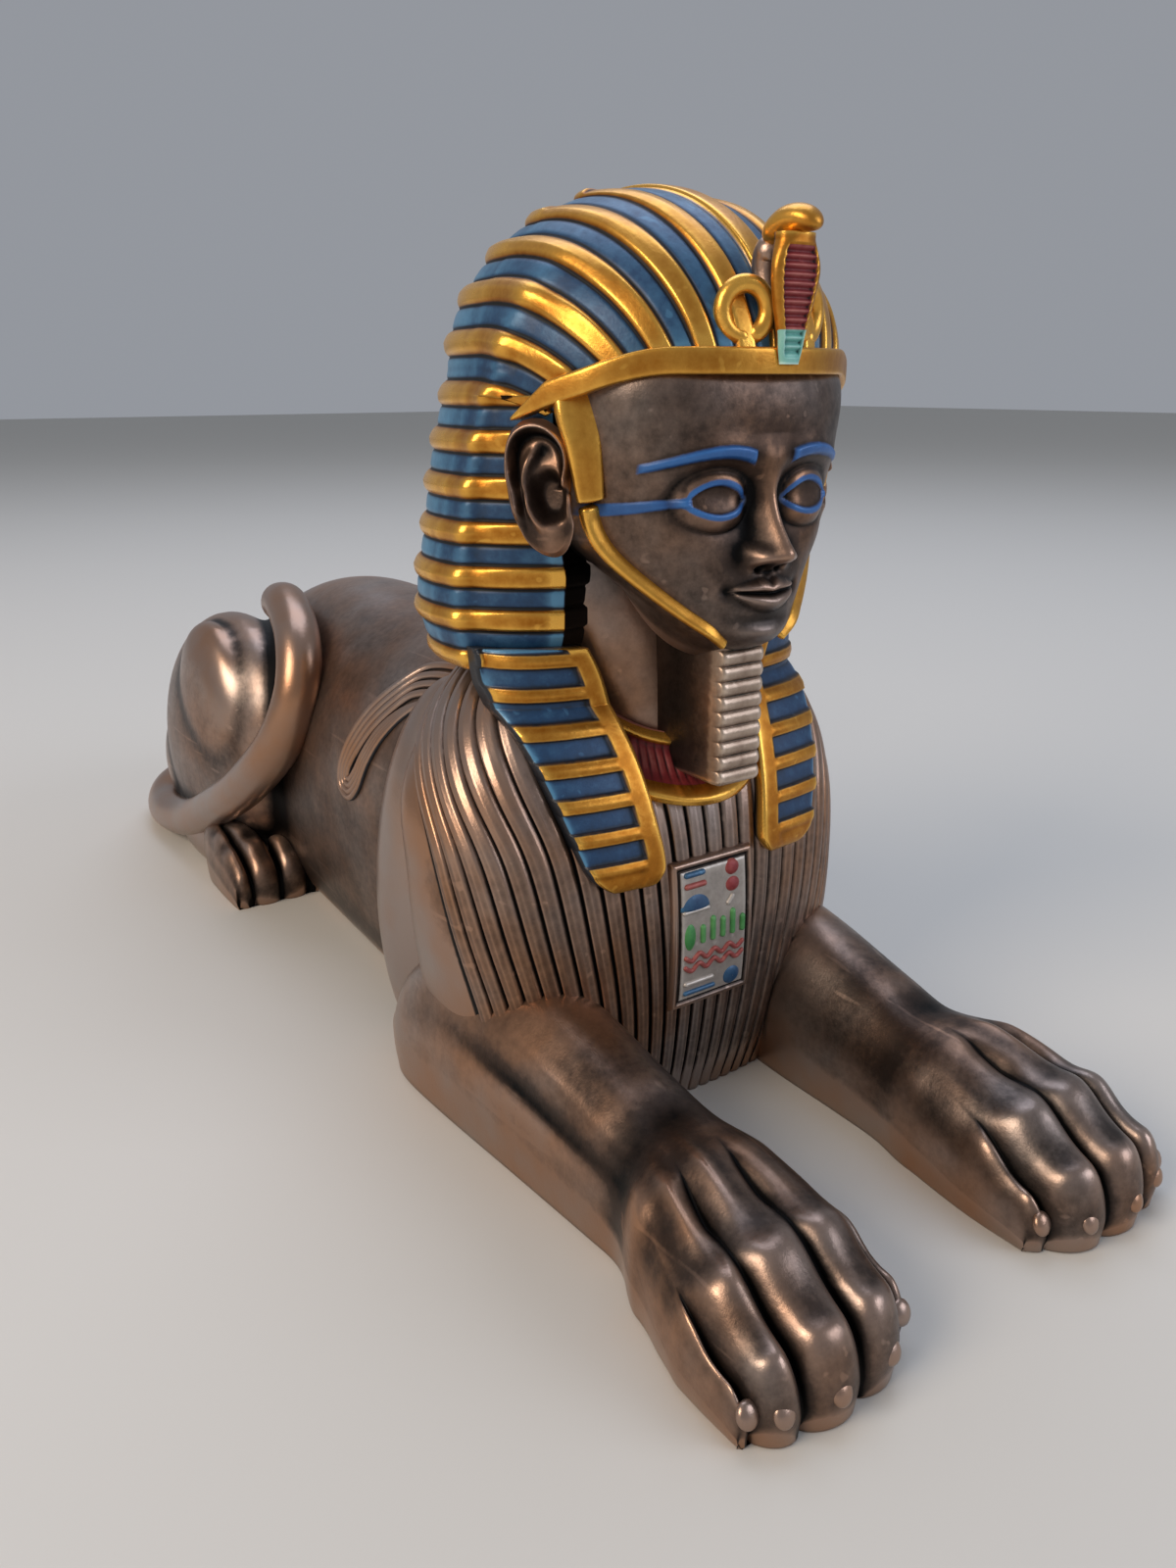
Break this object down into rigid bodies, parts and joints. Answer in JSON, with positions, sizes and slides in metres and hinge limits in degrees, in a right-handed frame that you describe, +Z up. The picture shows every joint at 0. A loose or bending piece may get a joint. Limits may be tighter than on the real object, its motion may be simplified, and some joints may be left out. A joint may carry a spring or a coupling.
{
  "type": "sphinx statue",
  "caption": "Couchant sphinx statuette, a lion's body with a bearded head in a striped headcloth, cast in one piece and painted bronze, gold and blue.",
  "frame": {"origin": "middle of the bounding box at the resting plane, under the belly", "axes": "the figure faces -Y, +X is its left side, +Z up"},
  "size_m": [0.0816, 0.2689, 0.1384],
  "materials": {
    "bronze": "dark brown bronze finish rubbed to copper on the high spots, with gold, blue, red and turquoise painted details"
  },
  "bodies": {
    "root": {"sphinx_statue": "bronze"}
  },
  "joints": []
}
